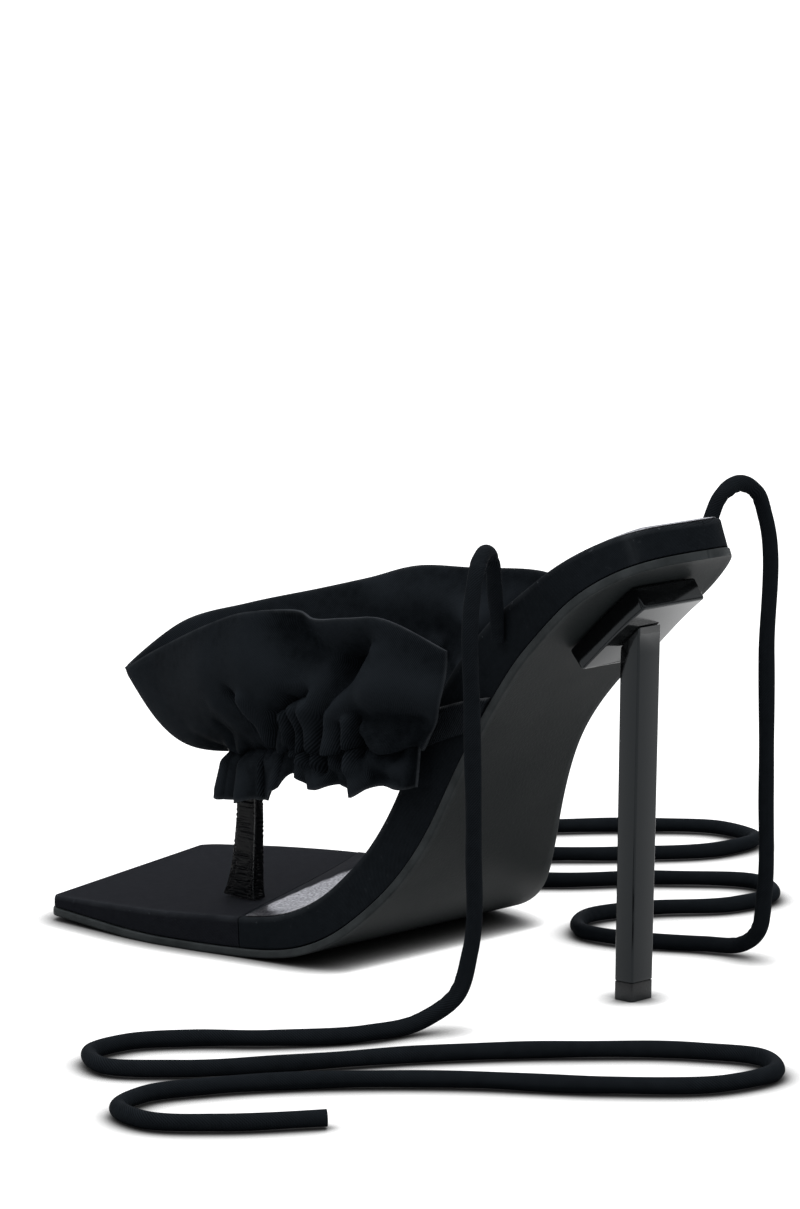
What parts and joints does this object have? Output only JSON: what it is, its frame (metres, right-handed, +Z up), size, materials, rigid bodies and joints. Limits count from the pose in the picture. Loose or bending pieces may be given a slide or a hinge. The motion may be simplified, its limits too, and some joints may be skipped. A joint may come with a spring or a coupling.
{
  "type": "stiletto sandal",
  "caption": "Right-foot high stiletto sandal with a square toe, a thong post, a gathered satin frill upper, ribbon side tabs, a wrapped footbed, a slim square heel and loose ankle ties.",
  "frame": {"origin": "the middle of the heel tip's underside, on the floor", "axes": "+X runs forward to the toe, +Y to the wearer's left, which is the inner side of this right shoe, +Z up"},
  "size_m": [0.2616, 0.3173, 0.1198],
  "materials": {
    "outsole_leather": "matte dark grey, paler along the worn edge",
    "band_satin": "black satin with a fine rib, soft sheen",
    "toe_satin": "matte black satin over the toe",
    "sock_leather": "glossy black smooth leather",
    "heel_gloss": "gloss black lacquer",
    "lift_rubber": "satin black hard rubber",
    "frill_satin": "black ribbed satin, gathered, soft sheen",
    "tie_cord": "black fabric tube cord, fine twill"
  },
  "bodies": {
    "root": {"outsole": "outsole_leather", "footbed": "band_satin", "toe_wrap": "toe_satin", "insole": "sock_leather", "heel_block": "heel_gloss", "heel_column": "heel_gloss", "top_lift": "lift_rubber", "upper": "frill_satin", "tie_inner": "tie_cord", "tie_outer": "tie_cord"}
  },
  "joints": []
}
